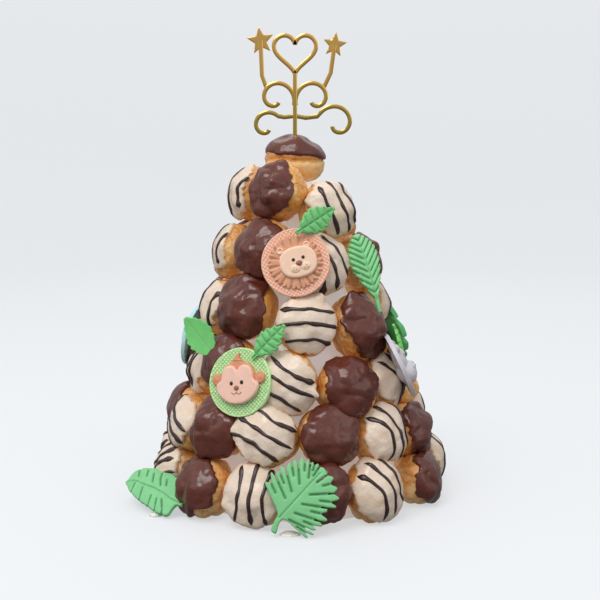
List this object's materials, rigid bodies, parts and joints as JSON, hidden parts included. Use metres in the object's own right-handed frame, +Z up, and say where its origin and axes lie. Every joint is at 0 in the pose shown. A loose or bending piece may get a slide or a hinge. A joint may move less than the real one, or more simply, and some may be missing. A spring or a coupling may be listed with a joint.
{
  "type": "cream puff tower",
  "caption": "Tower of chocolate and ivory coated cream puffs round a white cone, with sugar paste leaves, animal medallions and a gold ornament on top.",
  "frame": {"origin": "middle of the cone's foot, on the surface that the tower stands on", "axes": "+Z up the tower, +X to the viewer's right, -Y towards the viewer, who sees the lion and monkey medallions"},
  "size_m": [0.2429, 0.2333, 0.3564],
  "materials": {
    "puff_dark": "dark chocolate coat, satin gloss, over golden baked choux",
    "puff_ivory": "ivory coat with dark chocolate drizzle, over golden baked choux",
    "puff_golden": "golden brown baked choux, crackled and matt",
    "puffs_mixed": "dark and ivory coated choux in turn",
    "core": "smooth off-white",
    "leaf_green": "sugar paste, mint green, soft satin",
    "leaf_dark": "sugar paste, deep green, soft satin",
    "medallion_lion": "sugar paste, salmon with cream and tan",
    "medallion_monkey": "sugar paste, light green with peach and brown",
    "medallion_elephant": "sugar paste, pale blue",
    "medallion_hippo": "sugar paste, light grey",
    "gold_mirror": "gold mirror sheet, polished"
  },
  "bodies": {
    "root": {"core": "core", "leaf_broad": "leaf_green", "leaf_fern": "leaf_green", "leaf_left": "leaf_green", "leaf_middle": "leaf_green", "leaf_palm": "leaf_green", "leaf_small": "leaf_green", "leaf_split": "leaf_dark", "leaf_top": "leaf_green", "medallion_elephant": "medallion_elephant", "medallion_hippo": "medallion_hippo", "medallion_lion": "medallion_lion", "medallion_monkey": "medallion_monkey", "ornament": "gold_mirror", "puff_1a_striped": "puff_ivory", "puff_1b_striped": "puff_ivory", "puff_1c_dark": "puff_dark", "puff_1d_striped": "puff_ivory", "puff_1e_dark": "puff_dark", "puff_1f_striped": "puff_ivory", "puff_1g_dark": "puff_dark", "puff_1h_striped": "puff_ivory", "puff_2a_dark": "puff_dark", "puff_2b_striped": "puff_ivory", "puff_2c_dark": "puff_dark", "puff_2d_striped": "puff_ivory", "puff_2e_dark": "puff_dark", "puff_2f_striped": "puff_ivory", "puff_2g_dark": "puff_dark", "puff_3a_striped": "puff_ivory", "puff_3b_dark": "puff_dark", "puff_3c_striped": "puff_ivory", "puff_3d_dark": "puff_dark", "puff_3e_striped": "puff_ivory", "puff_3f_plain": "puff_golden", "puff_4a_striped": "puff_ivory", "puff_4b_dark": "puff_dark", "puff_4c_striped": "puff_ivory", "puff_4d_dark": "puff_dark", "puff_4e_striped": "puff_ivory", "puff_5a_striped": "puff_ivory", "puff_5b_dark": "puff_dark", "puff_5c_striped": "puff_ivory", "puff_5d_dark": "puff_dark", "puff_6a_striped": "puff_ivory", "puff_6b_dark": "puff_dark", "puff_6c_striped": "puff_ivory", "puff_6d_plain": "puff_golden", "puff_7_dark": "puff_dark", "puffs_1x_dark_striped_dark": "puffs_mixed", "puffs_1y_striped_dark_striped": "puffs_mixed", "puffs_2x_striped_dark_striped": "puffs_mixed", "puffs_2y_dark_striped_dark": "puffs_mixed", "puffs_3x_dark_striped": "puffs_mixed", "puffs_3y_dark_striped_dark": "puffs_mixed", "puffs_4x_striped_dark": "puffs_mixed", "puffs_4y_striped_dark": "puffs_mixed", "puffs_5x_dark_striped_dark": "puffs_mixed", "puffs_6x_striped": "puffs_mixed"}
  },
  "joints": []
}
